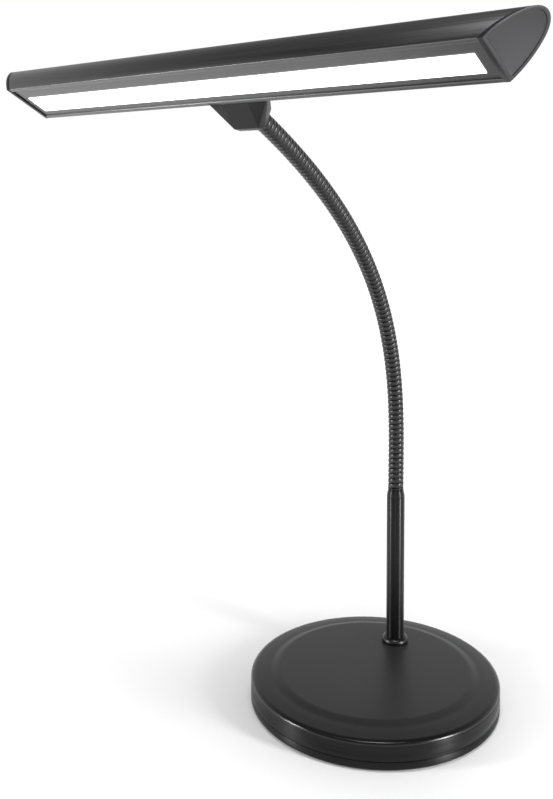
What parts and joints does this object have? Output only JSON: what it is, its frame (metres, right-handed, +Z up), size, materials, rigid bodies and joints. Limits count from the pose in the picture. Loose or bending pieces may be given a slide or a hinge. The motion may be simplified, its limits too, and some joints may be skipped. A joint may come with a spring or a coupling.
{
  "type": "piano desk lamp",
  "caption": "Lamp for a piano: round weighted base, short pole, ribbed gooseneck and a long D-section bar shade with slanted ends and a lit strip in its flat side.",
  "frame": {"origin": "centre of the base's underside, on the table", "axes": "+Z up; the lit side of the shade faces -Y and down; X runs along the shade; the pole stands near the back edge of the base (+Y)"},
  "size_m": [0.3815, 0.2742, 0.4536],
  "materials": {
    "black_paint": "charcoal black, satin",
    "iron": "as cast",
    "foam": "black foam, matt",
    "steel": "zinc plated",
    "plated": "nickel plated",
    "socket_plastic": "black",
    "button_plastic": "black",
    "lead_jacket": "black sleeve",
    "gloss_black": "gloss black",
    "neck_black": "gloss black ribs",
    "black_metal": "black, satin",
    "shade_metal": "brushed black, satin",
    "reflector": "brushed dark grey",
    "opal": "opal white, lit",
    "channel": "mill finish",
    "board_white": "white board",
    "board_green": "green board",
    "chip": "yellow phosphor",
    "components": "dark moulded parts"
  },
  "bodies": {
    "base": {"base_cover": "black_paint", "base_plate": "black_paint", "base_weight": "iron", "foot_pad": "foam", "base_screws": "steel", "power_inlet": "socket_plastic", "inlet_nut": "plated", "base_lead": "lead_jacket", "pole_collar": "gloss_black", "pole_tube": "gloss_black", "pole_nipple": "plated", "pole_washer": "steel", "pole_nut": "steel", "neck_ferrule": "gloss_black"},
    "neck_01": {"neck_length_01": "neck_black", "neck_lead_01": "lead_jacket"},
    "neck_02": {"neck_length_02": "neck_black", "neck_lead_02": "lead_jacket"},
    "neck_03": {"neck_length_03": "neck_black", "neck_lead_03": "lead_jacket"},
    "neck_04": {"neck_length_04": "neck_black", "neck_lead_04": "lead_jacket"},
    "neck_05": {"neck_length_05": "neck_black", "neck_lead_05": "lead_jacket"},
    "neck_06": {"neck_length_06": "neck_black", "neck_lead_06": "lead_jacket"},
    "neck_07": {"neck_length_07": "neck_black", "neck_lead_07": "lead_jacket"},
    "neck_08": {"neck_length_08": "neck_black", "neck_lead_08": "lead_jacket"},
    "neck_09": {"neck_length_09": "neck_black", "neck_lead_09": "lead_jacket"},
    "neck_10": {"neck_length_10": "neck_black", "neck_lead_10": "lead_jacket"},
    "head": {"shade_shell": "shade_metal", "shade_end_left": "shade_metal", "shade_end_right": "shade_metal", "reflector_plate": "reflector", "led_diffuser": "opal", "led_carrier": "channel", "led_board": "board_white", "led_chips": "chip", "driver_board": "board_green", "driver_parts": "components", "head_lead": "lead_jacket", "head_bracket": "black_metal", "bracket_screws": "steel", "neck_top_stud": "plated", "switch_body": "socket_plastic", "switch_bezel": "plated", "switch_lead": "lead_jacket"},
    "button": {"switch_button": "button_plastic"}
  },
  "joints": [
    {"name": "neck_turn", "type": "hinge", "parent": "base", "child": "neck_01", "pos_m": [-0.00708, 0.04373, 0.14455], "axis": [0, 0, 1], "range_deg": [-60, 60]},
    {"name": "neck_low_bend_1", "type": "hinge", "parent": "neck_01", "child": "neck_02", "pos_m": [-0.00708, 0.04397, 0.17903], "axis": [1, 0, 0], "range_deg": [-10, 8]},
    {"name": "neck_side_1", "type": "hinge", "parent": "neck_02", "child": "neck_03", "pos_m": [-0.00708, 0.04209, 0.21344], "axis": [0, 0.9926, 0.1213], "range_deg": [-8, 8]},
    {"name": "neck_low_bend_2", "type": "hinge", "parent": "neck_03", "child": "neck_04", "pos_m": [-0.00708, 0.03563, 0.24728], "axis": [1, 0, 0], "range_deg": [-10, 8]},
    {"name": "neck_side_2", "type": "hinge", "parent": "neck_04", "child": "neck_05", "pos_m": [-0.00708, 0.02352, 0.27952], "axis": [0, 0.9016, 0.4325], "range_deg": [-8, 8]},
    {"name": "neck_low_bend_3", "type": "hinge", "parent": "neck_05", "child": "neck_06", "pos_m": [-0.00708, 0.00596, 0.30914], "axis": [1, 0, 0], "range_deg": [-10, 8]},
    {"name": "neck_side_3", "type": "hinge", "parent": "neck_06", "child": "neck_07", "pos_m": [-0.00708, -0.01603, 0.33567], "axis": [0, 0.7272, 0.6865], "range_deg": [-8, 8]},
    {"name": "neck_high_bend_1", "type": "hinge", "parent": "neck_07", "child": "neck_08", "pos_m": [-0.00708, -0.04125, 0.35915], "axis": [1, 0, 0], "range_deg": [-10, 9]},
    {"name": "neck_side_4", "type": "hinge", "parent": "neck_08", "child": "neck_09", "pos_m": [-0.00708, -0.06877, 0.37992], "axis": [0, 0.5694, 0.8221], "range_deg": [-8, 8]},
    {"name": "neck_high_bend_2", "type": "hinge", "parent": "neck_09", "child": "neck_10", "pos_m": [-0.00708, -0.09788, 0.39837], "axis": [1, 0, 0], "range_deg": [-10, 9]},
    {"name": "neck_high_bend_3", "type": "hinge", "parent": "neck_10", "child": "head", "pos_m": [-0.00708, -0.12815, 0.41489], "axis": [1, 0, 0], "range_deg": [-10, 9]},
    {"name": "switch_press", "type": "slide", "parent": "head", "child": "button", "axis": [0, -0.8192, -0.5736], "range_m": [0, 0.0015], "stiffness_N_per_m": 700, "springref_m": -0.001}
  ],
  "couplings": [
    {"joint": "neck_low_bend_2", "follows": "neck_low_bend_1", "ratio": 1},
    {"joint": "neck_side_2", "follows": "neck_side_1", "ratio": 1},
    {"joint": "neck_low_bend_3", "follows": "neck_low_bend_1", "ratio": 1},
    {"joint": "neck_side_3", "follows": "neck_side_1", "ratio": 1},
    {"joint": "neck_side_4", "follows": "neck_side_1", "ratio": 1},
    {"joint": "neck_high_bend_2", "follows": "neck_high_bend_1", "ratio": 1},
    {"joint": "neck_high_bend_3", "follows": "neck_high_bend_1", "ratio": 1}
  ]
}
